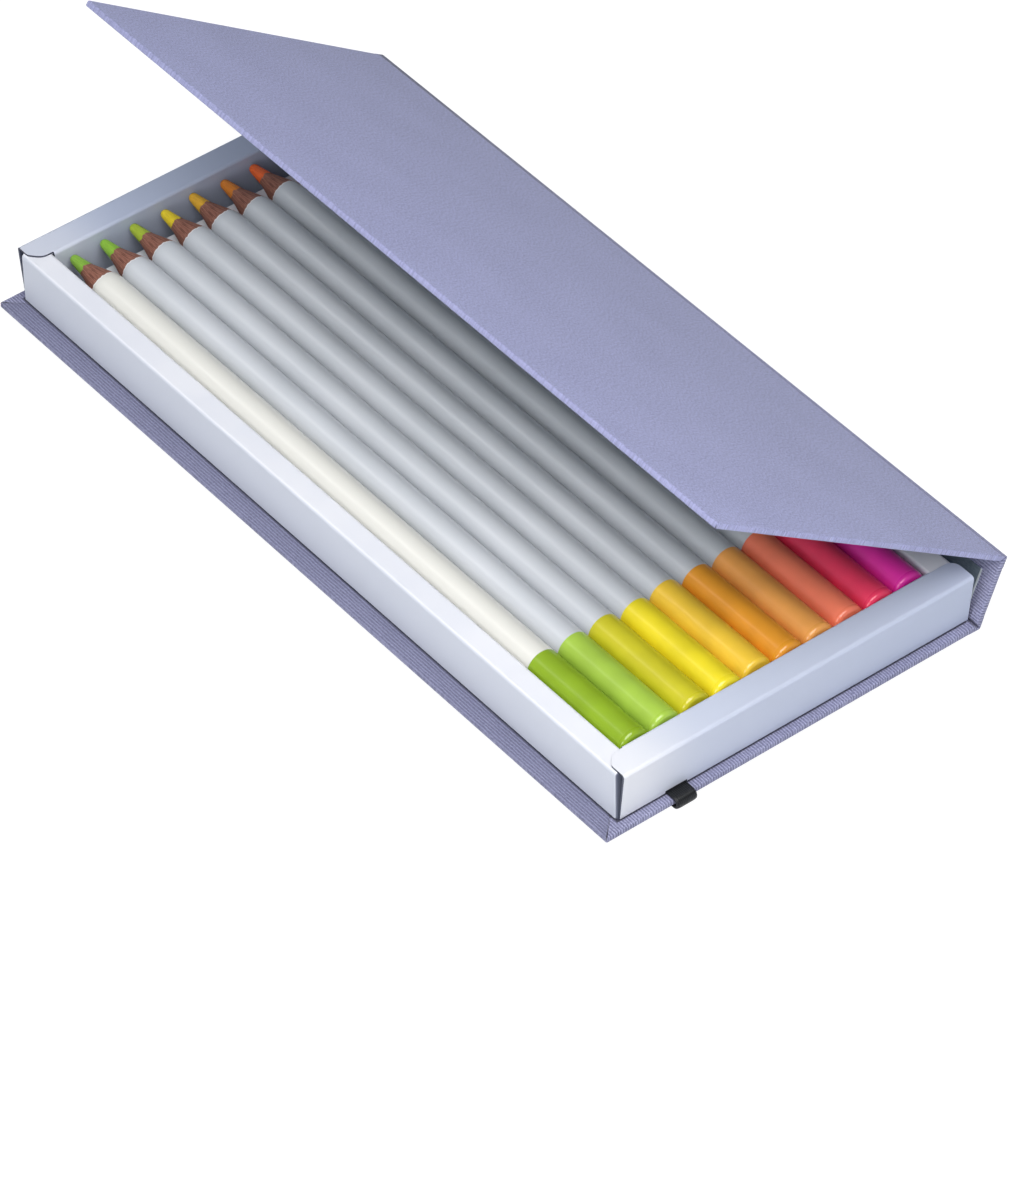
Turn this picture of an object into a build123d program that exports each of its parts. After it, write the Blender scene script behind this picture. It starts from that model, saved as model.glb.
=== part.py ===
from build123d import *
import os
from math import cos, radians, sin

os.makedirs("parts", exist_ok=True)

# Book-style pencil box. X runs across the box from the fore-edge to the spine, Y along the
# pencils from their butts to their tips, Z up. The origin is the centre of the underside.

# pencils
pencil_count = 10
pencil_dia = 7.2
pencil_gap = 0.25  # between neighbours, and to the long walls
pencil_length = 179.5
end_play = 0.9  # what the row of pencils leaves of the tray's length
core_dia = 3.3
core_play = 0.02  # radial, core in barrel
wood_edge = 0.05  # the shaved wood's blunt edge round the core
cap_length = 28.0
cap_proud = 0.05  # of the barrel, all round
cap_wall = 0.18
cap_end = 0.3
cap_play = 0.02  # radial and endways, cap over the turned-down barrel
cap_round = 0.9
cone_length = 12.2
lead_length = 5.2  # bare core, blunter than the wood's cone
tip_dia = 1.9
tip_round = 0.8
butt_steps = [0.3, 0.4, 0.6, 0.2, 0.75, 0.15, 0.3, 0.5, 0.2, 0.4]  # hand-placed stagger

# case panels: grey board wrapped in cloth
board = 1.0
cloth = 0.15
lining = 0.15
turn_in = 14.0  # cloth turned over the free edges
fold_lap = 2.5  # cloth carried in past a fold's bevel
lining_inset = 3.5
fold_gap = 0.06  # play of each bevel at its fold line
lid_clear = 0.3  # closed cover's lining above the pencils
spine_lean = 22.6  # degrees, as the box stands open
cover_rise = 35.2  # degrees above the level, as the box stands open
cover_short = 4.0  # the cover is narrower than the back, which leaves a lip

# tray: folded card with hollow walls
card = 0.45
fold_radius = 0.7
wall_fore = 5.1
wall_spine = 5.5
wall_near = 5.4
wall_far = 4.9
tray_height = 12.6
pencil_proud = 0.75  # pencils stand this far above the rim
margin_fore = 4.25
margin_spine = 1.7
margin_near = 2.05
margin_far = 2.15
lean_near = 1.4  # end walls' outer panels lean out at the top
lean_far = 1.5
wall_step = 0.55  # long walls start this far inside the end walls' faces
flap_round = 0.4  # fold where a long wall's end is closed
tab_short = 0.6  # end walls' tabs stop short of the fore-edge side
tab_long = 0.3  # and run past the spine side
tab_sweep = 2.0  # the curve that brings a tab in to the fore-edge wall's inner corner
tab_dip = 0.7
tab_corner = 2.3  # a tab's round corner over the spine side
corner_gap = 0.1

# platform under the pencils
rest_gap = 0.2  # below the caps and beside the walls
rest_short = 3.9  # its far edge stops short of the far wall

# elastic band round the back panel
band_inset = 14.0  # its middle, from the tray's fore-edge face
band_width = 4.8
band_thick = 0.8
band_bed = 0.1  # it presses this deep into the cloth of the underside
band_play = 0.2
band_slack = 0.7  # its round turns stand off the panel's ends
band_tail = 3.4  # glued end inside each hollow wall

cap_dia = pencil_dia + 2 * cap_proud
panel = board + 2 * cloth
core_hole = core_dia / 2 + core_play
inner_x = pencil_count * pencil_dia + (pencil_count + 1) * pencil_gap
inner_y = pencil_length + end_play
tray_x = wall_fore + inner_x + wall_spine
tray_y = wall_near + inner_y + wall_far
back_x = margin_fore + tray_x + margin_spine
back_y = margin_near + tray_y + margin_far
cover_x = back_x - cover_short

fore = margin_fore - back_x / 2  # tray's outer faces
spine = fore + tray_x
near = margin_near - back_y / 2
far = near + tray_y
fore_in = fore + wall_fore  # tray's inner faces
spine_in = spine - wall_spine
near_in = near + wall_near
far_in = far - wall_far
floor_top = panel + card
tray_top = panel + tray_height
axis_z = tray_top + pencil_proud - pencil_dia / 2
rest_top = axis_z - cap_dia / 2 - rest_gap
spine_height = tray_top + pencil_proud + lid_clear + lining + panel
band_x = fore + band_inset

lean = radians(spine_lean)
rise = radians(cover_rise)
low_fold = Vector(back_x / 2, -back_y / 2, 0)
high_fold = low_fold + Vector(sin(lean), 0, cos(lean)) * spine_height
fore_edge = high_fold + Vector(-cos(rise), 0, sin(rise)) * cover_x

# Section planes of the panels. In each, x runs round the case from the cover's fore-edge to
# the back's, y points to the inside and the plane's normal runs along the box.
back_plane = Plane(low_fold, x_dir=(-1, 0, 0), z_dir=(0, 1, 0))
spine_plane = Plane(high_fold, x_dir=(-sin(lean), 0, -cos(lean)), z_dir=(0, 1, 0))
front_plane = Plane(fore_edge, x_dir=(cos(rise), 0, -sin(rise)), z_dir=(0, 1, 0))


def panel_outline(width, bevel_start, bevel_end):
    """Corners of a covered panel's section, bevelled at 45 degrees at each fold."""
    start = fold_gap if bevel_start else 0
    end = width - (fold_gap if bevel_end else 0)
    inner_start = start + (panel if bevel_start else 0)
    inner_end = end - (panel if bevel_end else 0)
    return [(start, 0), (end, 0), (inner_end, panel), (inner_start, panel)]


def inside_window(width, bevel_start, bevel_end):
    """Where the board shows between the turned-in edges, along the panel's width."""
    lap = fold_lap + panel
    return (lap if bevel_start else turn_in), width - (lap if bevel_end else turn_in)


def inner_face(plane, width):
    """Plane of a panel's inner face, centred on the panel."""
    middle = plane.from_local_coords(Vector(width / 2, panel, back_y / 2))
    return Plane(middle, x_dir=plane.x_dir, z_dir=plane.y_dir)


def panel_board(plane, width, bevel_start, bevel_end):
    """The grey board, bevelled like its covering."""
    with BuildPart() as piece:
        with BuildSketch(plane.offset(cloth)):
            with BuildLine():
                Polyline(*panel_outline(width, bevel_start, bevel_end), close=True)
            make_face()
            offset(amount=-cloth, kind=Kind.INTERSECTION)
        extrude(amount=back_y - 2 * cloth)
    return piece


def panel_cloth(plane, width, bevel_start, bevel_end, bed_at=None):
    """The cloth round a board, open inside between its turned-in edges."""
    low, high = inside_window(width, bevel_start, bevel_end)
    with BuildPart() as piece:
        with BuildSketch(plane):
            with BuildLine():
                Polyline(*panel_outline(width, bevel_start, bevel_end), close=True)
            make_face()
        extrude(amount=back_y)
        with BuildSketch(plane.offset(cloth)):
            with BuildLine():
                Polyline(*panel_outline(width, bevel_start, bevel_end), close=True)
            make_face()
            offset(amount=-cloth, kind=Kind.INTERSECTION)
        extrude(amount=back_y - 2 * cloth, mode=Mode.SUBTRACT)
        with BuildSketch(inner_face(plane, width)):
            with Locations(((low + high - width) / 2, 0)):
                Rectangle(high - low, back_y - 2 * turn_in)
        extrude(amount=-cloth, mode=Mode.SUBTRACT)
        if bed_at is not None:
            with BuildSketch(Plane.XY):
                with Locations((bed_at, 0)):
                    Rectangle(band_width + 2 * band_play, back_y)
            extrude(amount=band_bed, mode=Mode.SUBTRACT)
    return piece


def panel_lining(plane, width, bevel_start, bevel_end):
    """Paper pasted on the board and up over the turned-in edges, in one sheet."""
    low, high = inside_window(width, bevel_start, bevel_end)
    ends = panel_outline(width, bevel_start, bevel_end)
    first = ends[3][0] + lining_inset
    last = ends[2][0] - lining_inset
    face = inner_face(plane, width)
    with BuildPart() as piece:
        with BuildSketch(face):
            with Locations(((first + last - width) / 2, 0)):
                Rectangle(last - first, back_y - 2 * lining_inset)
        extrude(amount=lining)
        with BuildSketch(face.offset(-cloth)):
            with Locations(((low + high - width) / 2, 0)):
                Rectangle(high - low, back_y - 2 * turn_in)
        extrude(amount=cloth)
        with BuildSketch(face.offset(lining)):
            with Locations(((low + high - width) / 2, 0)):
                Rectangle(high - low - 2 * lining, back_y - 2 * turn_in - 2 * lining)
        extrude(amount=-cloth, mode=Mode.SUBTRACT)
    return piece


def finish(piece, label):
    piece.part.label = label
    export_step(piece.part, f"parts/{label}.step")


# Back panel: bevelled at the low fold. The band lies in a shallow bed across the underside.
finish(panel_board(back_plane, back_x, True, False), "back_board")

finish(panel_cloth(back_plane, back_x, True, False, band_x), "back_cloth")

# Spine panel: bevelled at both folds.
finish(panel_board(spine_plane, spine_height, True, True), "spine_board")
finish(panel_cloth(spine_plane, spine_height, True, True), "spine_cloth")
finish(panel_lining(spine_plane, spine_height, True, True), "spine_lining")

# Front cover: bevelled at the high fold.
finish(panel_board(front_plane, cover_x, False, True), "front_board")
finish(panel_cloth(front_plane, cover_x, False, True), "front_cloth")
finish(panel_lining(front_plane, cover_x, False, True), "front_lining")

# Tray floor, glued on the back panel, notched at both ends for the band's glued tails.
tail = wall_step + band_tail + band_play
with BuildPart() as tray_floor:
    with BuildSketch(Plane.XY.offset(panel)):
        with Locations(((fore + spine) / 2, (near + far) / 2)):
            Rectangle(tray_x, tray_y)
        with Locations((band_x, near + tail / 2), (band_x, far - tail / 2)):
            Rectangle(band_width + 2 * band_play, tail, mode=Mode.SUBTRACT)
    extrude(amount=card)
finish(tray_floor, "tray_floor")


def long_wall(outer, inner, label):
    """
    A hollow wall folded over at its top, with a rounded fold at each side and a flap folded
    across each end.
    """
    low, high = sorted((outer, inner))
    top = tray_top - card
    length = tray_y - 2 * wall_step
    with BuildPart() as piece:
        with BuildSketch(Plane.XZ.offset(wall_step - far)):
            with BuildLine():
                over = FilletPolyline(
                    (low, panel), (low, top), (high, top), (high, panel), radius=fold_radius
                )
                Line(over @ 1, over @ 0)
            make_face()
        extrude(amount=length)
        for end in (faces().sort_by(Axis.Y)[0], faces().sort_by(Axis.Y)[-1]):
            fillet(end.edges().sort_by(Axis.Z)[1:], flap_round)
        with BuildSketch(Plane.XZ.offset(wall_step + card - far)):
            with BuildLine():
                over = FilletPolyline(
                    (low + card, panel),
                    (low + card, top - card),
                    (high - card, top - card),
                    (high - card, panel),
                    radius=fold_radius - card,
                )
                Line(over @ 1, over @ 0)
            make_face()
        extrude(amount=length - 2 * card, mode=Mode.SUBTRACT)
        split(bisect_by=Plane.XY.offset(floor_top), keep=Keep.TOP)
    finish(piece, label)


long_wall(fore, fore_in, "tray_wall_fore")
long_wall(spine, spine_in, "tray_wall_spine")


def end_wall(outer, inner, lean_out, label):
    """
    A hollow end wall whose outer panel leans out at the top. Its top runs on over the long
    walls as tabs: one sweeps in to the inner corner, the other has a plain round corner.
    """
    away = 1 if outer > inner else -1
    slope = away * lean_out / (tray_top - floor_top)
    foot = (outer - slope * card, panel)
    crest = (outer + away * lean_out, tray_top)
    path = [foot, crest, (inner, tray_top), (inner, panel)]
    if away > 0:
        path.reverse()
    sides = ((fore, fore_in, fore + tab_short, -1), (spine, spine_in, spine + tab_long, 1))
    with BuildPart() as piece:
        with BuildSketch(Plane.YZ.offset(fore)):
            with BuildLine():
                FilletPolyline(*path, radius=fold_radius)
                offset(amount=card, side=Side.RIGHT)
            make_face()
        extrude(amount=tray_x + tab_long + card)
        split(bisect_by=Plane.XY.offset(floor_top), keep=Keep.TOP)
        for side, side_in, tab_end, out in sides:
            root = inner + away * (card + corner_gap)
            beyond = crest[0] + away * card
            aside = side + out * (tab_long + 2 * card)
            with BuildSketch(Plane.XY.offset(panel)):
                with BuildLine():
                    start = (side_in - out * corner_gap, root)
                    if out < 0:
                        edge = Spline(
                            start,
                            (tab_end - out * tab_sweep, root + away * tab_dip / 2),
                            (tab_end - out * tab_dip / 2, root + away * tab_sweep),
                            (tab_end, root + away * tab_sweep * 3 / 2),
                            tangents=((out, 0), (0, away)),
                        )
                    else:
                        straight = Line(start, (tab_end - tab_corner, root))
                        corner = (tab_end, root + away * tab_corner)
                        edge = TangentArc(straight @ 1, corner, tangent=(out, 0))
                    Polyline(
                        edge @ 1,
                        (tab_end, beyond),
                        (aside, beyond),
                        (aside, inner - away * card),
                        (side_in - out * corner_gap, inner - away * card),
                        start,
                    )
                make_face()
            extrude(amount=tray_height, mode=Mode.SUBTRACT)
        with BuildSketch(Plane.XY.offset(floor_top)):
            with Locations((band_x, outer)):
                Rectangle(band_width + 2 * band_play, 4 * card)
        extrude(amount=band_thick + band_play - card, mode=Mode.SUBTRACT)
    finish(piece, label)


end_wall(near, near_in, lean_near, "tray_wall_near")
end_wall(far, far_in, lean_far, "tray_wall_far")

# Platform that carries the pencils: card folded down along both long sides.
rest_low = fore_in + rest_gap
rest_high = spine_in - rest_gap
with BuildPart() as pencil_rest:
    with BuildSketch(Plane.XZ.offset(rest_short - far_in)):
        with BuildLine():
            FilletPolyline(
                (rest_low, panel),
                (rest_low, rest_top),
                (rest_high, rest_top),
                (rest_high, panel),
                radius=fold_radius,
            )
            offset(amount=card, side=Side.RIGHT)
        make_face()
    extrude(amount=inner_y - rest_short - rest_gap)
    split(bisect_by=Plane.XY.offset(floor_top), keep=Keep.TOP)
finish(pencil_rest, "pencil_rest")

# Elastic band: over the near margin, down round the edge, along the underside and up again,
# with both tails passing under the end walls' outer panels.
edge_y = back_y / 2
middle_z = (panel + band_bed) / 2
tail_near = near + wall_step + band_tail
tail_far = far - wall_step - band_tail
with BuildPart() as elastic_band:
    with BuildSketch(Plane.YZ.offset(band_x - band_width / 2)):
        with BuildLine():
            Line((tail_near, panel), (-edge_y, panel))
            ThreePointArc((-edge_y, panel), (-edge_y - band_slack, middle_z), (-edge_y, band_bed))
            Line((-edge_y, band_bed), (edge_y, band_bed))
            ThreePointArc((edge_y, band_bed), (edge_y + band_slack, middle_z), (edge_y, panel))
            Line((edge_y, panel), (tail_far, panel))
            offset(amount=band_thick, side=Side.RIGHT)
        make_face()
    extrude(amount=band_width)
finish(elastic_band, "elastic_band")

# One pencil, turned about Y with its butt at the origin.
radius = pencil_dia / 2
core = core_dia / 2
cap = cap_dia / 2
bore = cap - cap_wall
turned = bore - cap_play
butt = cap_end + cap_play
tip = tip_dia / 2
cone_start = pencil_length - cone_length
lead_start = pencil_length - lead_length
taper = (radius - core) / (lead_start - cone_start)  # radius the wood loses per length
cone_end = lead_start - (core_hole + wood_edge - core) / taper

with BuildPart() as barrel:
    with BuildSketch(Plane.XY):
        with BuildLine():
            Polyline(
                (core_hole, butt),
                (turned - cap_round, butt),
                (turned, butt + cap_round),
                (turned, cap_length + cap_play),
                (radius, cap_length + cap_play),
                (radius, cone_start),
                (core_hole + wood_edge, cone_end),
                (core_hole, cone_end),
                close=True,
            )
        make_face()
    revolve(axis=Axis.Y)

with BuildPart() as lead:
    with BuildSketch(Plane.XY):
        with BuildLine():
            Polyline(
                (0, butt),
                (core, butt),
                (core, lead_start),
                (tip, pencil_length),
                (0, pencil_length),
                close=True,
            )
        make_face()
        fillet(vertices().sort_by(Axis.Y)[-2:].sort_by(Axis.X)[-1], tip_round)
    revolve(axis=Axis.Y)

with BuildPart() as end_cap:
    with BuildSketch(Plane.XY):
        Rectangle(cap, cap_length, align=Align.MIN)
        fillet(vertices().group_by(Axis.Y)[0].sort_by(Axis.X)[-1], cap_round)
    revolve(axis=Axis.Y)
    with BuildSketch(Plane.XY):
        with Locations((0, cap_end)):
            Rectangle(bore, cap_length, align=Align.MIN)
        chamfer(vertices().group_by(Axis.Y)[0].sort_by(Axis.X)[-1], cap_round)
    revolve(axis=Axis.Y, mode=Mode.SUBTRACT)

for number in range(pencil_count):
    x = fore_in + pencil_gap + radius + number * (pencil_dia + pencil_gap)
    place = Location((x, near_in + butt_steps[number % len(butt_steps)], axis_z))
    for piece, name in ((barrel, "barrel"), (lead, "core"), (end_cap, "cap")):
        label = f"pencil_{number + 1:02d}_{name}"
        pencil_piece = piece.part.moved(place)
        pencil_piece.label = label
        export_step(pencil_piece, f"parts/{label}.step")

print("panel", panel, "tray", tray_x, tray_y, "back", back_x, back_y)
print("spine height", spine_height, "cover", cover_x, "axis", axis_z, "rest top", rest_top)
print("high fold", high_fold, "fore edge", fore_edge)
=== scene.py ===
import bmesh
import bpy
import numpy as np
from mathutils import Matrix


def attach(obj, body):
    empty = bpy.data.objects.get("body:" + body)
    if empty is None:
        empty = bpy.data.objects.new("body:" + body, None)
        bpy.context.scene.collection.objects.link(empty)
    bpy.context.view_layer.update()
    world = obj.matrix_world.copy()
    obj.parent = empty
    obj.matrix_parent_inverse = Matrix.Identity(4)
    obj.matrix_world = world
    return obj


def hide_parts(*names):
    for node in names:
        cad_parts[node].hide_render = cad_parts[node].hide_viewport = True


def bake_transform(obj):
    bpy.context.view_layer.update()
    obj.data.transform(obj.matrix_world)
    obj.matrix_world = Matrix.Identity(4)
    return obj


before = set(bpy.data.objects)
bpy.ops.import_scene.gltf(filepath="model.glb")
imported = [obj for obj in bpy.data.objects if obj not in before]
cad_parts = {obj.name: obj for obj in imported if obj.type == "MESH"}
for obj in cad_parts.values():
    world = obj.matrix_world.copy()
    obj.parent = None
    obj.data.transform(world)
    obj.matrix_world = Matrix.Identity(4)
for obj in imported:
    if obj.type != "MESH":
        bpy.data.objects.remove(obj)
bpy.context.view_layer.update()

mm = 0.001

# The case at rest, in mm: where its panels meet and how they lean.
case = {
    "halfLength": 97.45,
    "backWidth": 91.3,
    "spineHeight": 16.4,
    "coverWidth": 87.3,
    "spineLean": np.radians(22.6),
    "coverRise": np.radians(35.2),
    "panel": 1.3,
    "foldGap": 0.06,
}
# The tray's outer faces on the back panel, and the sheet under it, in mm.
tray = {"fore": -41.4, "spine": 43.95, "near": -95.4, "far": 95.3, "card": 0.45, "recess": 0.5, "notch": 5.4}
lowFold = np.array([case["backWidth"] / 2, 0, 0])
spineUp = np.array([np.sin(case["spineLean"]), 0, np.cos(case["spineLean"])])
highFold = lowFold + spineUp * case["spineHeight"]
coverOut = np.array([-np.cos(case["coverRise"]), 0, np.sin(case["coverRise"])])
foreEdge = highFold + coverOut * case["coverWidth"]


class Number:  # a number that varies over a surface
    def __init__(self, paint, socket):
        self.paint, self.socket = paint, socket

    def __add__(self, other):
        return self.paint.math("ADD", self, other)

    def __radd__(self, other):
        return self.paint.math("ADD", other, self)

    def __sub__(self, other):
        return self.paint.math("SUBTRACT", self, other)

    def __rsub__(self, other):
        return self.paint.math("SUBTRACT", other, self)

    def __mul__(self, other):
        return self.paint.math("MULTIPLY", self, other)


class Paint:  # one material and the nodes that make it
    def __init__(self, name):
        self.material = bpy.data.materials.new(name)
        self.material.use_nodes = True
        self.tree = self.material.node_tree
        self.tree.nodes.clear()
        self.shader = self.tree.nodes.new("ShaderNodeBsdfPrincipled")
        out = self.tree.nodes.new("ShaderNodeOutputMaterial")
        self.tree.links.new(self.shader.outputs[0], out.inputs[0])

    def plug(self, socket, value):
        if isinstance(value, Number):
            value = value.socket
        if isinstance(value, bpy.types.NodeSocket):
            self.tree.links.new(value, socket)
        else:
            socket.default_value = value

    def node(self, kind, settings=None, values=None):
        made = self.tree.nodes.new(kind)
        for key, value in (settings or {}).items():
            setattr(made, key, value)
        for key, value in (values or {}).items():
            self.plug(made.inputs[key], value)
        return made

    def math(self, operation, a, b=0.0):
        made = self.node("ShaderNodeMath", {"operation": operation}, {0: a, 1: b})
        return Number(self, made.outputs[0])

    def ease(self, value, low, high):  # 0 below low, 1 above high, smooth between
        made = self.node("ShaderNodeMapRange", {"interpolation_type": "SMOOTHSTEP"},
                         {0: value, 1: low, 2: high, 3: 0.0, 4: 1.0})
        return Number(self, made.outputs[0])

    def mix(self, factor, a, b):
        made = self.node("ShaderNodeMix", {"data_type": "RGBA"}, {0: factor, 6: a, 7: b})
        return made.outputs[2]

    def noise(self, vector, scale, detail=2.0, roughness=0.5):
        made = self.node("ShaderNodeTexNoise", None,
                         {"Vector": vector, "Scale": scale, "Detail": detail, "Roughness": roughness})
        return Number(self, made.outputs[0])

    def scaled(self, vector, scale):
        made = self.node("ShaderNodeMapping", None, {"Vector": vector, "Scale": scale})
        return made.outputs[0]

    def place(self, which="Object"):
        return self.node("ShaderNodeTexCoord").outputs[which]

    def split(self, vector):
        made = self.node("ShaderNodeSeparateXYZ", None, {0: vector})
        return [Number(self, s) for s in made.outputs]

    def attribute(self, name):
        made = self.node("ShaderNodeAttribute", {"attribute_name": name})
        return Number(self, made.outputs["Fac"])

    def bump(self, height, distance, strength=1.0):
        made = self.node("ShaderNodeBump", None,
                         {"Height": height, "Distance": distance, "Strength": strength})
        self.plug(self.shader.inputs["Normal"], made.outputs[0])

    def finish(self, **values):  # sockets of the shader, with _ for a space
        for key, value in values.items():
            self.plug(self.shader.inputs[key.replace("_", " ")], value)
        return self.material


def tone(red, green, blue):  # a colour as the eye reads it, 0 to 255, made linear
    c = np.array([red, green, blue]) / 255
    c = np.where(c <= 0.04045, c / 12.92, ((c + 0.055) / 1.055) ** 2.4)
    return (float(c[0]), float(c[1]), float(c[2]), 1.0)


def deeper(colour, share):  # the same colour with that share of its light
    return tuple(c * share for c in colour[:3]) + (1.0,)


def surface(name, points, material, body, uv=None, values=None, flip=False):
    # points is a grid in mm, one row for each step along the piece and one column for each step round it.
    # Each face joins four neighbours, the last column joins the first, and the first and last rows each have
    # a flat lid. Where uv has a column more than points, it is for the far side of the seam.
    rows, cols = points.shape[:2]
    i, j = np.meshgrid(np.arange(rows - 1), np.arange(cols), indexing="ij")
    i, j = i.ravel(), j.ravel()
    after = (j + 1) % cols
    corner = [(i, j, j), (i, after, j + 1), (i + 1, after, j + 1), (i + 1, j, j)]
    first, last = np.arange(cols)[::-1], np.arange(cols)
    if flip:
        corner.reverse()
        first, last = last, first
    faces = np.stack([r * cols + c for r, c, _ in corner], 1).tolist()
    faces += [first.tolist(), (last + (rows - 1) * cols).tolist()]
    mesh = bpy.data.meshes.new(name)
    mesh.from_pydata((points.reshape(-1, 3) * mm).tolist(), [], faces)
    if uv is not None:
        if uv.shape[1] == cols:
            uv = np.concatenate([uv, uv[:, :1]], 1)
        loops = np.stack([uv[r, c] for r, _, c in corner], 1).reshape(-1, 2)
        loops = np.concatenate([loops, uv[0, first], uv[-1, last]])
        mesh.uv_layers.new(name="UVMap").data.foreach_set("uv", loops.ravel().astype(np.float32))
    for key, field in (values or {}).items():
        mesh.attributes.new(key, "FLOAT", "POINT").data.foreach_set("value", field.ravel().astype(np.float32))
    rounds = np.ones(len(faces), bool)
    rounds[-2:] = False
    mesh.polygons.foreach_set("use_smooth", rounds)
    mesh.update()
    piece = bpy.data.objects.new(name, mesh)
    bpy.context.scene.collection.objects.link(piece)
    mesh.materials.append(material)
    if body:
        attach(piece, body)
    return piece


def rounded(corners, radii, steps=5, isOpen=False):
    # A polygon, or an open path, with each corner replaced by an arc that is tangent to both its sides.
    corners = np.array(corners, float)
    out = []
    for k, radius in enumerate(radii):
        here = corners[k]
        if isOpen and k in (0, len(corners) - 1):
            out.append(here[None])
            continue
        before = corners[k - 1] - here
        beyond = corners[(k + 1) % len(corners)] - here
        before, beyond = before / np.linalg.norm(before), beyond / np.linalg.norm(beyond)
        half = np.arccos(np.clip(before @ beyond, -1, 1)) / 2
        middle = before + beyond
        centre = here + middle / np.linalg.norm(middle) * radius / np.sin(half)
        start = here + before * radius / np.tan(half) - centre
        end = here + beyond * radius / np.tan(half) - centre
        t = np.linspace(0, 1, steps + 1)[:, None]
        turn = np.pi - 2 * half
        out.append(centre + (np.sin((1 - t) * turn) * start + np.sin(t * turn) * end) / np.sin(turn))
    return np.concatenate(out)


def inset(corners, amount):
    # An anticlockwise polygon with each side moved inwards by amount, and corners where the sides cross.
    c = np.array(corners, float)
    side = np.roll(c, -1, 0) - c
    side /= np.linalg.norm(side, axis=1)[:, None]
    inward = np.stack([-side[:, 1], side[:, 0]], 1)
    before = np.roll(inward, 1, 0)
    middle = inward + before
    return c + middle * (amount / (1 + np.sum(inward * before, 1)))[:, None]


# Marks on cloth, in mm: mitred corners, painted shade at the free edge, and painted shade in the line and on
# the flap round the tray's foot.
mitre = {"line": (0.06, 0.22), "tip": (0.9, 1.7), "tone": (34, 32, 48), "depth": 2}
edgeShade = {"fade": (0.02, 0.3), "share": 0.22, "tone": (96, 98, 128)}
footShadeLine = {"fade": (-0.05, 0.28), "share": 0.85, "tone": (30, 30, 46)}
foreFlapShade = {"fade": (-0.05, 0.05), "start": 0.1, "share": 0.42, "tone": (82, 84, 108)}
speckTone = (214, 216, 238)


def clothPaint(name, look):
    # Cloth in its own u and v, in mm, with ribs along v. Where it has a free edge, it is painted a little
    # darker there as shade, and its turned-in corners meet on a mitre. A painted shade line darkens it where
    # the tray stands on it, from foot's first u to its second and as far as its third along v, and the flap
    # beyond is painted darker as shade.
    p = Paint(name)
    flat = p.place("UV")
    u, v, _ = p.split(flat)
    drift = p.noise(p.scaled(flat, (0.5, 0.12, 1)), 1.0, 2.0)
    wave = p.math("SINE", (u + drift * look["wander"]) * (2 * np.pi / look["ribPitch"])) * 0.5 + 0.5
    uneven = p.noise(p.scaled(flat, (1.4, 0.5, 1)), 1.0, 3.0, 0.6)
    ribs = wave * (0.6 + uneven * 0.8)
    fibre = p.noise(p.scaled(flat, (6.0, 1.6, 1)), 1.0, 3.0, 0.65)
    fleck = p.noise(p.scaled(flat, (2.3, 1.9, 1)), 1.0, 4.0, 0.75)
    cloud = p.noise(p.scaled(flat, (0.07, 0.04, 1)), 1.0, 2.0)
    shade = (ribs - 0.5) * look["ribTone"] + (fibre - 0.5) * look["fibreTone"]
    shade = shade + (fleck - 0.5) * look["fleckTone"] + (cloud - 0.5) * 0.25
    colour = p.mix(p.ease(shade, -0.5, 0.5), tone(*look["dark"]), tone(*look["light"]))
    speck = p.ease(p.noise(p.scaled(flat, (2.6, 3.1, 1)), 1.0, 1.0, 0.5), 0.70, 0.78)
    colour = p.mix(speck * look["speck"], colour, tone(*speckTone))
    height = ribs * look["ribDepth"] + fibre * look["fibreDepth"] + fleck * look["fibreDepth"]
    if "freeEdge" in look:
        inside = p.attribute("inside")
        fromEdge = p.math("ABSOLUTE", u - look["freeEdge"])
        fromEnd = case["halfLength"] - p.math("ABSOLUTE", v)
        seam = (1 - p.ease(p.math("ABSOLUTE", fromEdge - fromEnd), *mitre["line"])) * inside
        tip = 1 - p.ease(fromEnd, *mitre["tip"])
        near = 1 - p.ease(fromEdge, *edgeShade["fade"])
        colour = p.mix(near * edgeShade["share"], colour, tone(*edgeShade["tone"]))
        colour = p.mix(seam * (tip * 0.8 + 0.15), colour, tone(*mitre["tone"]))
        height = height - seam * mitre["depth"]
        if "foot" in look:
            low, high, end = look["foot"]
            beyond = p.math("MAXIMUM", p.math("MAXIMUM", low - u, u - high), p.math("ABSOLUTE", v) - end)
            # Painted shade line round the tray's foot.
            shadeUnder = (1 - p.ease(beyond, *footShadeLine["fade"])) * inside
            # Painted shade on the flap beyond the foot.
            flapShade = p.ease(fromEnd - fromEdge, *foreFlapShade["fade"]) * p.ease(u, high, high + foreFlapShade["start"])
            colour = p.mix(flapShade * inside * foreFlapShade["share"], colour, tone(*foreFlapShade["tone"]))
            colour = p.mix(shadeUnder * footShadeLine["share"], colour, tone(*footShadeLine["tone"]))
    p.bump(height, 0.0001)
    return p.finish(Base_Color=colour, Roughness=0.85, Sheen_Weight=0.12, Sheen_Roughness=0.5)


grain = {"ribPitch": 0.62, "wander": 0.5, "ribTone": 0.12, "fibreTone": 1.5, "fleckTone": 2.6,
         "ribDepth": 0.1, "fibreDepth": 0.6, "speck": 0.6, "dark": (134, 136, 172), "light": (174, 177, 217)}
ribbed = {"ribPitch": 0.6, "wander": 0.35, "ribTone": 0.55, "fibreTone": 1.3, "fleckTone": 1.3,
          "ribDepth": 0.8, "fibreDepth": 0.4, "speck": 0.35, "dark": (98, 99, 128), "light": (160, 161, 192)}
trayFoot = (lowFold[0] - tray["spine"], lowFold[0] - tray["fore"], (tray["far"] - tray["near"]) / 2)
coverCloth = clothPaint("cover_cloth", {**grain, "freeEdge": 0.0})
spineCloth = clothPaint("spine_cloth", ribbed)
backCloth = clothPaint("back_cloth_paint", {**ribbed, "freeEdge": case["backWidth"], "foot": trayFoot})
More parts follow.
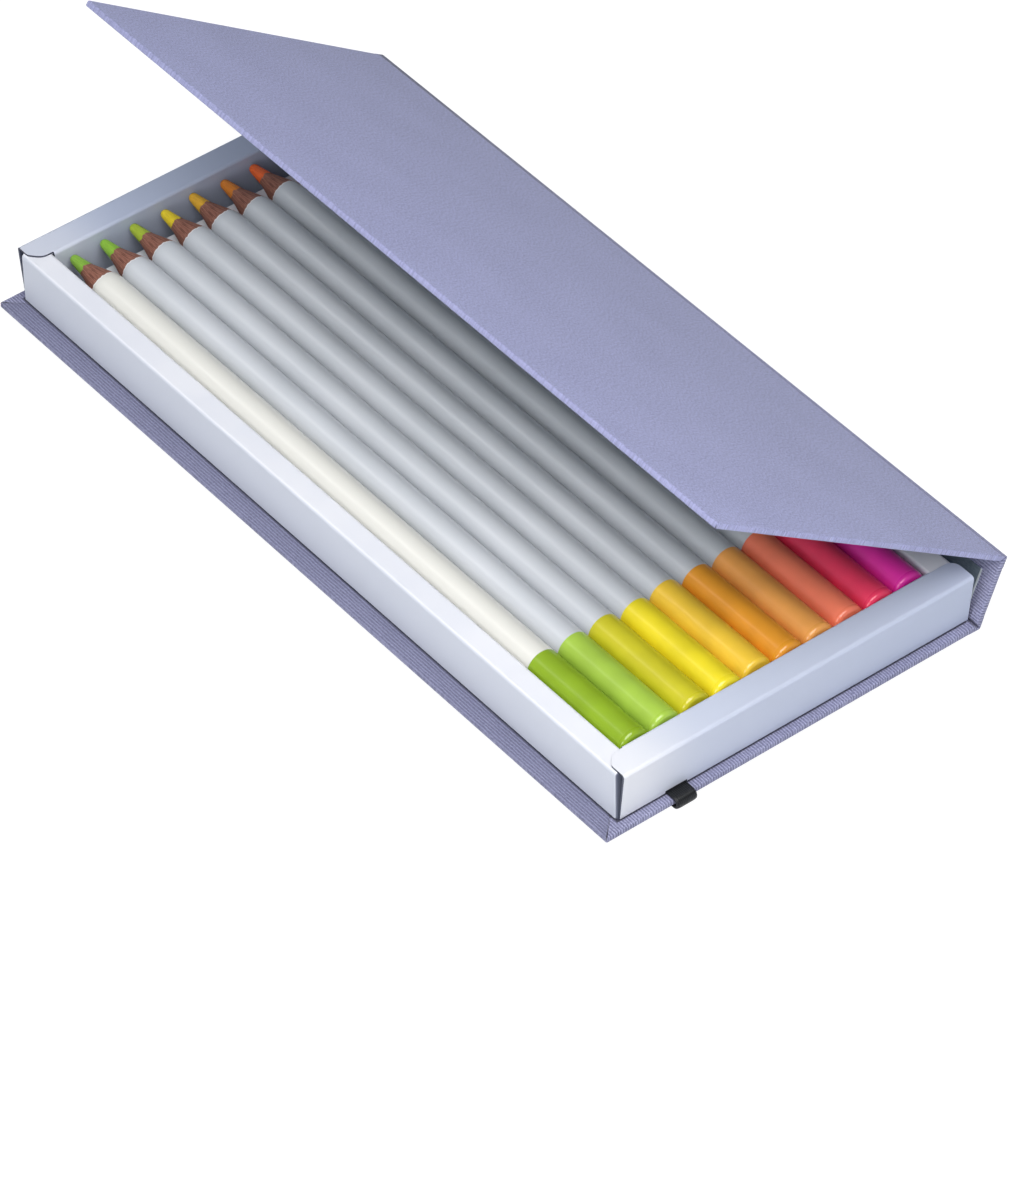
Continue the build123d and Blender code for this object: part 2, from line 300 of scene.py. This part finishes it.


# Where the tray's card changes, in metres, mostly as painted shade: cutAbove is a height, the cool shade's
# reach is across the box, and far and outerPanel are along it.
cardPlaces = {"cutAbove": (0.01346, 0.0135), "coolShade": ((-0.042, -0.018), (-0.03, 0.04)), "far": (0.05, 0.09),
              "farShadeTone": (130, 146, 180), "outerPanel": (0.0938, 0.0944)}


def cardPaint(name, look):
    # Smooth card, with painted shade that changes by place and by the way it faces. A cool painted shade
    # comes in away from the fore-edge corner, and deeper still towards the far end. A darker face tone is
    # painted shade on what looks to the fore side, an inner tone paints shade on the inside of an end wall's
    # outer panel, and a gap tone paints shade on what looks along the box, as the long walls' ends do. A cut
    # tone is for upright edges high up, which show the card's grey inside, deepened as painted shade.
    p = Paint(name)
    at = p.place()
    fine = p.noise(at, 2600.0, 3.0, 0.6)
    cloud = p.noise(at, 60.0, 2.0)
    colour = p.mix(p.ease(cloud, 0.3, 0.7), tone(*look["dark"]), tone(*look["light"]))
    aside, along, height = p.split(at)
    toFore, toEnd, facing = p.split(p.node("ShaderNodeNewGeometry").outputs["Normal"])
    # Painted cool shade away from the fore-edge corner, deeper towards the far end.
    if "coolShade" in look:
        soon, late = (p.ease(aside, *reach) for reach in cardPlaces["coolShade"])
        colour = p.mix(soon * 0.8 + late * 0.2, colour, tone(*look["coolShade"]))
        colour = p.mix(p.ease(along, *cardPlaces["far"]) * 0.3, colour, tone(*cardPlaces["farShadeTone"]))
    # Painted shade on faces that look to the fore side.
    if "face" in look:
        colour = p.mix(1 - p.ease(toFore, -0.9, -0.4), colour, tone(*look["face"]))
    # Painted shade on the inside of an end wall's outer panel.
    if "inner" in look:
        inward = 1 - p.ease(toEnd * p.math("SIGN", along), -0.9, -0.5)
        panelShade = inward * p.ease(p.math("ABSOLUTE", along), *cardPlaces["outerPanel"])
        colour = p.mix(panelShade, colour, tone(*look["inner"]))
    # Painted shade on faces that look along the box.
    if "gapShade" in look:
        colour = p.mix(p.ease(p.math("ABSOLUTE", toEnd), 0.45, 0.95), colour, tone(*look["gapShade"]))
    # Upright edges high up: the card's grey inside, deepened as painted shade.
    if "cutShade" in look:
        upright = 1 - p.ease(p.math("ABSOLUTE", facing), 0.15, 0.3)
        colour = p.mix(upright * p.ease(height, *cardPlaces["cutAbove"]), colour, tone(*look["cutShade"]))
    p.bump(fine, 0.00002, 0.6)
    return p.finish(Base_Color=colour, Roughness=0.4 + fine * 0.1, Specular_IOR_Level=0.4)


# Beyond their light and dark tones, these card tones are painted shade.
trayCard = cardPaint("tray_card", {"light": (228, 229, 235), "dark": (221, 223, 231), "face": (199, 203, 213),
                                   "gapShade": (112, 117, 134), "cutShade": (70, 72, 88)})
endCard = cardPaint("tray_end_card", {"light": (226, 227, 232), "dark": (219, 221, 228), "face": (74, 78, 94),
                                      "inner": (74, 78, 94), "coolShade": (184, 192, 212), "cutShade": (50, 52, 68)})
# The base card's tones are painted shade.
shadowCard = cardPaint("tray_base_shadow_card", {"light": (96, 98, 118), "dark": (84, 86, 106)})
greyBoard = cardPaint("grey_board", {"light": (150, 148, 142), "dark": (132, 130, 124)})

lining = {"dark": (98, 112, 122), "light": (118, 131, 141), "edge": (0.09352, 0.09368),
          "edgeHighlightTone": (214, 222, 224)}


def liningPaint():
    # Slate paper, pale over the last third of a millimetre at its two ends: its cut edge shows there, and a
    # painted highlight widens it.
    p = Paint("lining_paper")
    at = p.place()
    fine = p.noise(p.scaled(at, (1, 0.35, 1)), 3000.0, 3.0, 0.6)
    colour = p.mix(p.ease(fine, 0.3, 0.7), tone(*lining["dark"]), tone(*lining["light"]))
    end = p.math("ABSOLUTE", p.split(at)[1])
    # Painted highlight on the cut edge.
    colour = p.mix(p.ease(end, *lining["edge"]), colour, tone(*lining["edgeHighlightTone"]))
    p.bump(fine, 0.00002, 0.5)
    return p.finish(Base_Color=colour, Roughness=0.7)


liningPaper = liningPaint()

barrel = {"wood": ((104, 60, 48), (166, 112, 92)), "pore": (72, 38, 32), "lip": (250, 246, 244),
          "lacquer": ((193, 197, 202), (205, 208, 213)), "firstLacquer": (219, 218, 211)}


def barrelPaint():
    # Wood with long streaks and fine pores, under lacquer where the surface says it is painted. The lacquer
    # ends in a pale lip, and the first pencil's is warmer.
    p = Paint("barrel_lacquer")
    flat = p.place("UV")
    painted = p.attribute("painted")
    streaks = p.noise(p.scaled(flat, (3.0, 0.22, 1)), 1.0, 4.0, 0.7)
    pores = p.noise(p.scaled(flat, (7.0, 0.9, 1)), 1.0, 3.0, 0.8)
    wood = p.mix(p.ease(streaks, 0.35, 0.65), *(tone(*c) for c in barrel["wood"]))
    wood = p.mix(p.ease(pores, 0.58, 0.72) * 0.6, wood, tone(*barrel["pore"]))
    cloud = p.noise(p.scaled(flat, (0.08, 0.02, 1)), 1.0, 2.0)
    lacquer = p.mix(p.ease(cloud, 0.3, 0.7), *(tone(*c) for c in barrel["lacquer"]))
    warm = 1 - p.ease(p.attribute("number"), 0.02, 0.08)
    lacquer = p.mix(warm, lacquer, tone(*barrel["firstLacquer"]))
    colour = p.mix(painted, wood, lacquer)
    colour = p.mix(p.attribute("paintEdge") * 0.9, colour, tone(*barrel["lip"]))
    ripple = p.noise(p.scaled(flat, (1.2, 0.3, 1)), 1.0, 2.0)
    p.bump(streaks * (1 - painted) + ripple * 0.12, 0.00006)
    return p.finish(Base_Color=colour, Roughness=0.66 - painted * 0.34, Coat_Weight=painted * 0.35,
                    Coat_Roughness=0.2)


barrelLacquer = barrelPaint()

capButt = (-0.0891, -0.0879)  # along the box, in metres, over the caps' rounded butts


def capPaint(name, colour):  # dipped lacquer, glossier on the butt
    p = Paint(name)
    at = p.place()
    cloud = p.noise(at, 120.0, 2.0)
    mixed = p.mix(p.ease(cloud, 0.25, 0.75), deeper(colour, 0.86), colour)
    butt = 1 - p.ease(p.split(at)[1], *capButt)
    p.bump(p.noise(at, 260.0, 1.0), 0.00006, 0.35)
    return p.finish(Base_Color=mixed, Roughness=0.36 - butt * 0.24, Coat_Weight=butt * 0.45 + 0.15,
                    Coat_Roughness=0.05)


def leadPaint(name, colour):  # waxy colour, scraped lengthways
    p = Paint(name)
    scrape = p.noise(p.scaled(p.place("UV"), (5.0, 0.5, 1)), 1.0, 3.0, 0.7)
    p.bump(scrape, 0.00005)
    return p.finish(Base_Color=p.mix(p.ease(scrape, 0.3, 0.7), deeper(colour, 0.7), colour), Roughness=0.5)


weave = {"cordPitch": 0.4, "pickPitch": 0.5, "dark": (10, 11, 12), "light": (30, 32, 35)}


def elasticPaint():  # cords along the band, crossed by picks
    p = Paint("elastic_weave")
    u, v, _ = p.split(p.place("UV"))
    cords = p.math("SINE", u * (2 * np.pi / weave["cordPitch"])) * 0.5 + 0.5
    picks = p.math("SINE", v * (2 * np.pi / weave["pickPitch"])) * 0.5 + 0.5
    height = cords * 0.5 + cords * picks * 0.5
    colour = p.mix(p.ease(height, 0.1, 1.0), tone(*weave["dark"]), tone(*weave["light"]))
    p.bump(height, 0.00004)
    return p.finish(Base_Color=colour, Roughness=0.42, Specular_IOR_Level=0.35)


elasticWeave = elasticPaint()
print("materials made")

wrap = {"edgeRadius": 0.34, "endRadius": 0.3, "foldRadius": 0.12, "leastRadius": 0.01, "steps": 5,
        "cloth": 0.15, "turnIn": 14.0, "foldLap": 2.5, "sinkOver": 0.01, "endStretch": 1.4}


def panelShell(name, origin, across, inward, width, bevels, material, body, node):
    # A panel's section is a rounded trapezoid, bevelled where it meets a fold. It is carried straight along
    # the box, and within endRadius of each end it is smaller by r(1 - sin a) at r(1 - cos a) from the end.
    # Inside, cloth is only turned in at the edges, and between them the section sinks by its thickness.
    thick, sinkOver = case["panel"], wrap["sinkOver"]
    start = case["foldGap"] if bevels[0] else 0.0
    end = width - (case["foldGap"] if bevels[1] else 0.0)
    corners = [(start, 0), (end, 0), (end - thick * bevels[1], thick), (start + thick * bevels[0], thick)]
    bevelled = (bevels[0], bevels[1], bevels[1], bevels[0])
    radii = np.array([wrap["foldRadius"] if b else wrap["edgeRadius"] for b in bevelled])
    angle = np.linspace(0, np.pi / 2, 6)
    shrink = wrap["endRadius"] * (1 - np.sin(angle))
    move = wrap["endRadius"] * (1 - np.cos(angle))
    windowEnd = case["halfLength"] - wrap["turnIn"]
    lap = wrap["foldLap"] + thick
    low = lap if bevels[0] else wrap["turnIn"]
    high = width - (lap if bevels[1] else wrap["turnIn"])
    shrink = np.concatenate([shrink, np.zeros(4), shrink[::-1]])
    y = np.concatenate([move - case["halfLength"],
                        [-windowEnd, sinkOver - windowEnd, windowEnd - sinkOver, windowEnd],
                        case["halfLength"] - move[::-1]])
    points, uv, inside = [], [], []
    for less, along in zip(shrink, y):
        ring = rounded(inset(corners, less), np.maximum(radii - less, wrap["leastRadius"]), wrap["steps"])
        level = thick - less
        sunk = level - wrap["cloth"] * (abs(along) < windowEnd - sinkOver / 2)
        window = [(high, level), (high - sinkOver, sunk), (low + sinkOver, sunk), (low, level)]
        ring = np.insert(ring, 3 * (wrap["steps"] + 1), window, 0)
        point = origin + ring[:, :1] * across + ring[:, 1:] * inward
        point[:, 1] = along
        points.append(point)
        over = np.where(along < 0, -1.0, 1.0) * less * wrap["endStretch"]
        uv.append(np.stack([ring[:, 0], np.full(len(ring), along + over)], 1))
        inside.append(ring[:, 1] > thick / 2)
    piece = surface(name, np.array(points), material, body, np.array(uv), flip=True,
                    values={"inside": np.array(inside)})
    piece.data.set_sharp_from_angle(angle=np.radians(40))
    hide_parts(node)


spineDown = -spineUp
spineIn = np.array([-spineUp[2], 0, spineUp[0]])
coverBack = -coverOut
coverIn = np.array([-np.sin(case["coverRise"]), 0, -np.cos(case["coverRise"])])
backAcross, backIn = np.array([-1.0, 0, 0]), np.array([0, 0, 1.0])
panelShell("back_panel_cloth", lowFold, backAcross, backIn, case["backWidth"], (True, False),
           backCloth, "base", "back_cloth")
panelShell("spine_panel_cloth", highFold, spineDown, spineIn, case["spineHeight"], (True, True),
           spineCloth, "spine_panel", "spine_cloth")
panelShell("front_cover_cloth", foreEdge, coverBack, coverIn, case["coverWidth"], (False, True),
           coverCloth, "front_cover", "front_cloth")


def normalsOut(piece):
    made = bmesh.new()
    made.from_mesh(piece.data)
    bmesh.ops.recalc_face_normals(made, faces=made.faces)
    made.to_mesh(piece.data)
    made.free()


def alongPath(path):
    # The unit step at each point of a path, and the distance along the path from its start.
    step = np.gradient(path, axis=0)
    step /= np.linalg.norm(step, axis=1)[:, None]
    return step, np.concatenate([[0], np.cumsum(np.linalg.norm(np.diff(path, axis=0), axis=1))])


strip = {"reach": 2.6, "arc": 0.35, "proud": 0.03, "sunkEnd": -0.02, "depth": 0.12, "short": 0.06,
         "bend": 0.9}


def foldStrip(name, corner, one, other):
    # The cloth outside a fold: a path with a small arc at its corner, from proud of the panels' faces to
    # depth below them, carried along the box. Its two long edges sink into the panels, so that no rim shows.
    ends = [corner + way * strip["reach"] for way in (one, other)]
    path = rounded([ends[0], corner, ends[1]], [0, strip["arc"], 0], 8, isOpen=True)
    step, length = alongPath(path)
    out = np.stack([step[:, 2], step[:, 1] * 0, -step[:, 0]], 1)
    if out[len(out) // 2] @ (one + other) > 0:
        out = -out
    lift = np.full(len(path), strip["proud"])
    lift[[0, -1]] = strip["sunkEnd"]
    ring = np.concatenate([path + out * lift[:, None], (path - out * strip["depth"])[::-1]])
    u = np.concatenate([length, length[::-1]])
    y = np.array([-1, 1]) * (case["halfLength"] - strip["short"])
    points = np.array([ring + np.array([0, v, 0]) for v in y])
    uv = np.array([np.stack([u, np.full(len(u), v)], 1) for v in y])
    piece = surface(name, points, spineCloth, None, uv)
    normalsOut(piece)
    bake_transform(piece)


foldStrip("low_fold_cloth", lowFold, backAcross, spineUp)
foldStrip("high_fold_cloth", highFold, spineDown, coverOut)
print("case covered")


def repaint(material, *names):  # for the pieces that keep the part's own solids
    for name in names:
        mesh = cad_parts[name].data
        mesh.materials.clear()
        mesh.materials.append(material)


repaint(trayCard, "tray_wall_fore", "tray_wall_spine", "pencil_rest")
repaint(endCard, "tray_wall_near", "tray_wall_far")
repaint(greyBoard, "back_board", "spine_board", "front_board")
repaint(liningPaper, "spine_lining", "front_lining")
print("tray and linings painted")

band = {"x": -27.4, "width": 4.8, "thick": 0.8, "bed": 0.1, "tailNear": -91.45, "tailFar": 91.35,
        "tailPlay": 0.2, "slack": 0.69, "turn": 0.99, "turnSteps": 12, "around": 28, "oval": (0.35, 0.55)}


def trayBase():
    # The sheet under the tray, painted dark as shade and a little smaller than the walls, so that a dark line
    # of shade shows below them. It is notched at both ends for the elastic's tails.
    less, half = tray["recess"], tray["notch"] / 2
    low, high = case["panel"], case["panel"] + tray["card"]
    x = [tray["fore"] + less, band["x"] - half, band["x"] + half, tray["spine"] - less]
    y = [tray["near"] + less, band["tailNear"] + band["tailPlay"], band["tailFar"] - band["tailPlay"],
         tray["far"] - less]
    outline = [(x[0], y[0]), (x[1], y[0]), (x[1], y[1]), (x[2], y[1]), (x[2], y[0]), (x[3], y[0]),
               (x[3], y[3]), (x[2], y[3]), (x[2], y[2]), (x[1], y[2]), (x[1], y[3]), (x[0], y[3])]
    points = np.array([[(a, b, z) for a, b in outline] for z in (low, high)])
    piece = surface("tray_base_sheet", points, shadowCard, "base")
    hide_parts("tray_floor")


def elasticBand():
    # A flat oval section, thinner at its two edges, carried round the back panel on a path with rounded
    # turns. Its width goes by a power of the cosine and its thickness by a power of the sine.
    high = case["panel"] + band["thick"] / 2
    low = band["bed"] - band["thick"] / 2
    end = case["halfLength"] + band["slack"] + band["thick"] / 2
    turn = (high - low) / 2 * band["turn"]
    route = [(band["tailNear"], high), (-end, high), (-end, low), (end, low), (end, high),
             (band["tailFar"], high)]
    path = rounded(route, [0, turn, turn, turn, turn, 0], band["turnSteps"], isOpen=True)
    step, length = alongPath(path)
    out = np.stack([step[:, 1], -step[:, 0]], 1)
    a = np.linspace(0, 2 * np.pi, band["around"], endpoint=False)
    across = band["width"] / 2 * np.sign(np.cos(a)) * np.abs(np.cos(a)) ** band["oval"][0]
    rise = band["thick"] / 2 * np.sign(np.sin(a)) * np.abs(np.sin(a)) ** band["oval"][1]
    points = np.zeros((len(path), len(a), 3))
    points[:, :, 0] = band["x"] + across
    points[:, :, 1:] = path[:, None] + out[:, None] * rise[None, :, None]
    uv = np.stack(np.broadcast_arrays(across[None], length[:, None]), 2)
    piece = surface("elastic_loop", points, elasticWeave, "base", uv)
    normalsOut(piece)
    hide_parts("elastic_band")


trayBase()
elasticBand()
print("tray floored and elastic wound")

pencil = {
    "radius": 3.6, "pitch": 7.45, "firstX": -32.45, "axisZ": 11.05, "start": -90.0, "length": 179.5,
    "capLength": 28.0, "capRadius": 3.65, "capRound": 0.9, "capInside": 3.5, "coneLength": 12.2,
    "leadLength": 5.2, "tipRadius": 0.95, "tipRound": 0.8, "coreRadius": 1.65, "coreHidden": 1.2,
    "turnedRadius": 3.45, "paintDepth": 0.04, "paintPast": 0.7, "scallop": 0.2, "nicks": 0.16,
    "woodPast": 0.05, "woodWave": 0.42, "blunt": 0.25, "flats": 0.02, "ripple": 0.0012, "around": 120,
    "tipFlat": 0.06, "coreLoose": 0.01, "coreClear": 0.02, "barrelStart": 0.35, "rim": 0.06,
    "butts": [0.3, 0.4, 0.6, 0.2, 0.75, 0.15, 0.3, 0.5, 0.2, 0.4],
    "caps": [(138, 170, 32), (162, 195, 70), (206, 198, 38), (242, 222, 38), (248, 204, 60),
             (240, 160, 44), (244, 168, 84), (252, 132, 100), (246, 64, 102), (236, 50, 170)],
    "leads": [(140, 188, 62), (142, 192, 56), (172, 194, 52), (240, 212, 34), (234, 178, 44),
              (222, 130, 34), (246, 106, 40), (232, 84, 70), (215, 40, 80), (195, 40, 145)],
}
angles = np.linspace(0, 2 * np.pi, pencil["around"], endpoint=False)
coneStart = pencil["length"] - pencil["coneLength"]
leadStart = pencil["length"] - pencil["leadLength"]
taper = (pencil["radius"] - pencil["coreRadius"]) / (leadStart - coneStart)


def lathe(k, called, part, along, radius, material, values=None):
    # A turned surface: at each distance along the axis and each angle round it, a point stands off by radius.
    body = f"pencil_{k + 1:02d}"
    points = np.zeros(radius.shape + (3,))
    points[..., 0] = pencil["firstX"] + k * pencil["pitch"] + radius * np.cos(angles)
    points[..., 1] = pencil["start"] + pencil["butts"][k] + along
    points[..., 2] = pencil["axisZ"] + radius * np.sin(angles)
    turn = np.linspace(0, 2 * np.pi, len(angles) + 1) * pencil["radius"]
    uv = np.stack(np.broadcast_arrays(turn[None], np.concatenate([along, along[:, :1]], 1)), 2)
    node = f"{body}_{part}"
    piece = surface(f"{body}_{called}", points, material, body, uv, values, flip=True)
    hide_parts(node)


def waves(seed, counts):
    # A ragged line round the pencil: a sum of three sines of fixed counts and seeded phases, from -1 to 1.
    turn = np.random.default_rng(seed)
    return sum(np.sin(angles * n + turn.uniform(0, 6.28)) / (k + 1.3) for k, n in enumerate(counts)) / 1.8


def smooth(t):  # 0 below 0 and 1 above 1, and between them 3t squared less 2t cubed
    t = np.clip(t, 0, 1)
    return t * t * (3 - 2 * t)


def leadRadius(along):
    # Straight rod, then a cone from coreRadius to tipRadius whose end is rounded off by an arc of tipRound.
    back = pencil["length"] - along
    cone = pencil["tipRadius"] + (pencil["coreRadius"] - pencil["tipRadius"]) * back / pencil["leadLength"]
    r = pencil["tipRound"]
    flat = pencil["tipRadius"] - r + pencil["tipFlat"]
    bulge = np.sqrt(np.maximum(r ** 2 - np.maximum(r - back, 0) ** 2, 0))
    arc = flat + bulge + np.maximum(back - r, 0)
    return np.minimum(np.minimum(cone, pencil["coreRadius"] - pencil["coreLoose"]), arc)


def pencilBarrel(k):
    # Straight, then the cone. The lacquer stops on a ragged line just past the start of the cone and the
    # wood stops on another where the core comes out. Both lines are carried by the rows themselves. The
    # radius falls by taper along the cone, by a bell curve round the cone's start, which dulls that corner,
    # and by paintDepth past the lacquer.
    paintEnd = coneStart + pencil["paintPast"] + pencil["scallop"] * waves(10 + k, (3, 5, 8))
    paintEnd += pencil["nicks"] * waves(70 + k, (17, 23, 31))
    woodEnd = leadStart + pencil["woodPast"] + pencil["woodWave"] * waves(40 + k, (5, 8, 13))
    mouth, near, rim = pencil["capLength"], coneStart - 1.0, pencil["rim"]
    level = [pencil["barrelStart"], mouth - 0.2, mouth + 0.02, *np.linspace(mouth + 0.1, near, 24)]
    rows = [np.full(len(angles), v) for v in level]
    rows += [near + (paintEnd - near - 2 * rim) * t for t in np.linspace(0.1, 1, 10)]
    rows += [paintEnd - rim, paintEnd, paintEnd + rim]
    rows += [paintEnd + rim + (woodEnd - paintEnd - rim) * t for t in np.linspace(0.04, 1, 22)]
    along = np.array(rows)
    blunt = pencil["blunt"] * np.exp(-((along - coneStart) / 0.6) ** 2) * taper
    painted = smooth((paintEnd + 0.05 - along) / 0.1)
    radius = pencil["radius"] - np.maximum(along - coneStart, 0) * taper - blunt
    radius += pencil["paintDepth"] * (painted - 1) * (along > coneStart - 2)
    radius[0:2] = pencil["turnedRadius"]
    radius = np.maximum(radius, leadRadius(along) + pencil["coreClear"] * (along > leadStart - 2))
    lip = np.exp(-((along - paintEnd + 0.1) / 0.1) ** 2)
    lathe(k, "lacquered_barrel", "barrel", along, radius, barrelLacquer,
          {"painted": painted, "paintEdge": lip, "number": 0 * along + k / 10})


def pencilCore(k):
    # A rod inside the barrel, then the point that shows, shaved in narrow flats, with a blunt round tip.
    begin, length = leadStart - pencil["coreHidden"], pencil["length"]
    tail = np.array([0.4, begin - 0.5, begin])
    shaft = np.linspace(begin + 0.1, length - 1.0, 20)
    dome = length - np.cos(np.linspace(0, np.pi / 2, 10))[1:]
    along = np.concatenate([tail, shaft, dome])[:, None] + 0 * angles
    flats = np.abs(np.sin(angles * 5 + k)) * (along > begin + 0.6) * (along < length - 0.2)
    radius = leadRadius(along) * (1 - pencil["flats"] * flats)
    lathe(k, "coloured_core", "core", along, radius, leadPaints[k])


def pencilCap(k):
    # Dipped lacquer over the butt, a quarter turn at its shoulder, with a soft lip where it ends. Its middle
    # swells and thins by a faint sine.
    mouth, outer, bend, inner = (pencil[n] for n in ("capLength", "capRadius", "capRound", "capInside"))
    turn = np.linspace(0, np.pi / 2, 9)
    y = np.concatenate([[0.0, 0.0, 0.0], bend * (1 - np.cos(turn)), np.linspace(2, mouth - 0.3, 12),
                        [mouth - 0.15, mouth - 0.05, mouth, mouth, mouth - 0.2, 0.6]])
    r = np.concatenate([[0.02, 1.2, 2.4], outer - bend * (1 - np.sin(turn)), np.full(12, outer),
                        [outer - 0.005, outer - 0.03, outer - 0.06, inner + 0.02, inner, inner - 0.5]])
    along = y[:, None] + 0 * angles
    radius = r[:, None] + 0 * angles
    radius[14:-3] *= 1 + pencil["ripple"] * np.sin(along[14:-3] * 0.5 + k)
    lathe(k, "dipped_cap", "cap", along, radius, capPaints[k])


capPaints = [capPaint(f"cap_lacquer_{k + 1:02d}", tone(*c)) for k, c in enumerate(pencil["caps"])]
leadPaints = [leadPaint(f"core_wax_{k + 1:02d}", tone(*c)) for k, c in enumerate(pencil["leads"])]
for k in range(len(pencil["butts"])):
    pencilBarrel(k)
    pencilCore(k)
    pencilCap(k)
print("pencils laid in")

studio = {
    "floorZ": -0.0008, "floorSize": 6.0, "floorGlow": 1.18, "glowShare": 0.78,
    "floorTint": (0.78, 0.79, 0.81, 1),
    "key": {"place": (-0.20, -0.32, 0.68), "size": 0.75, "power": 6.6, "colour": (1.0, 0.985, 0.965)},
    "back": {"place": (-0.46, 0.70, 0.88), "size": 0.3, "power": 0.7, "colour": (1.0, 0.99, 0.98)},
    "fill": {"place": (-0.80, -0.36, 0.30), "size": 0.5, "power": 2.2, "colour": (1.0, 0.99, 0.98)},
    "world": (0.80, 0.88, 1.0, 1.0), "worldPower": 0.30,
}


def floorPlane():
    s = studio["floorSize"] / 2
    mesh = bpy.data.meshes.new("studio_floor")
    z = studio["floorZ"]
    mesh.from_pydata([(-s, -s, z), (s, -s, z), (s, s, z), (-s, s, z)], [], [(0, 1, 2, 3)])
    floor = bpy.data.objects.new("studio_floor", mesh)
    bpy.context.scene.collection.objects.link(floor)
    p = Paint("studio_floor")
    ray = p.node("ShaderNodeLightPath")
    glow = p.node("ShaderNodeEmission", None, {0: (1, 1, 1, 1), 1: studio["floorGlow"]})
    share = Number(p, ray.outputs["Is Camera Ray"]) * studio["glowShare"]
    seen = p.node("ShaderNodeMixShader", None, {0: share, 1: p.shader.outputs[0]})
    p.tree.links.new(glow.outputs[0], seen.inputs[2])
    out = [n for n in p.tree.nodes if n.type == "OUTPUT_MATERIAL"][0]
    p.tree.links.new(seen.outputs[0], out.inputs[0])
    mesh.materials.append(p.finish(Base_Color=studio["floorTint"], Roughness=0.9, Specular_IOR_Level=0.1))


def areaLamp(name, place, size, power, colour):
    lamp = bpy.data.lights.new(name, "AREA")
    lamp.shape, lamp.size, lamp.energy, lamp.color = "DISK", size, power, colour
    made = bpy.data.objects.new(name, lamp)
    bpy.context.scene.collection.objects.link(made)
    made.location = place
    back = np.array(place) / np.linalg.norm(place)
    side = np.cross((0, 0, 1.0), back)
    side /= np.linalg.norm(side)
    up = np.cross(back, side)
    made.matrix_world = Matrix(((side[0], up[0], back[0], place[0]), (side[1], up[1], back[1], place[1]),
                                (side[2], up[2], back[2], place[2]), (0, 0, 0, 1)))


def worldLight():
    world = bpy.data.worlds.new("studio_world")
    bpy.context.scene.world = world
    world.use_nodes = True
    light = world.node_tree.nodes["Background"]
    light.inputs[0].default_value = studio["world"]
    light.inputs[1].default_value = studio["worldPower"]


floorPlane()
areaLamp("key_lamp", **studio["key"])
areaLamp("back_lamp", **studio["back"])
areaLamp("fill_lamp", **studio["fill"])
worldLight()

camera = {
    "place": (-0.60266706, -0.80038149, 0.91122275), "lens": 207.3205,
    "right": (0.78663623, -0.61721055, -0.01595556),
    "up": (0.43347071, 0.53368786, 0.72614077),
    "back": (-0.43966646, -0.5781249, 0.6873609),
}
lens = bpy.data.cameras.new("photo_camera")
lens.lens, lens.sensor_width, lens.clip_start = camera["lens"], 36.0, 0.05
view = bpy.data.objects.new("photo_camera", lens)
bpy.context.scene.collection.objects.link(view)
axes = np.array([camera["right"], camera["up"], camera["back"]]).T
view.matrix_world = Matrix([list(axes[i]) + [camera["place"][i]] for i in range(3)] + [[0, 0, 0, 1]])
bpy.context.scene.camera = view
bpy.context.scene.view_settings.view_transform = "Standard"
print("studio lit")
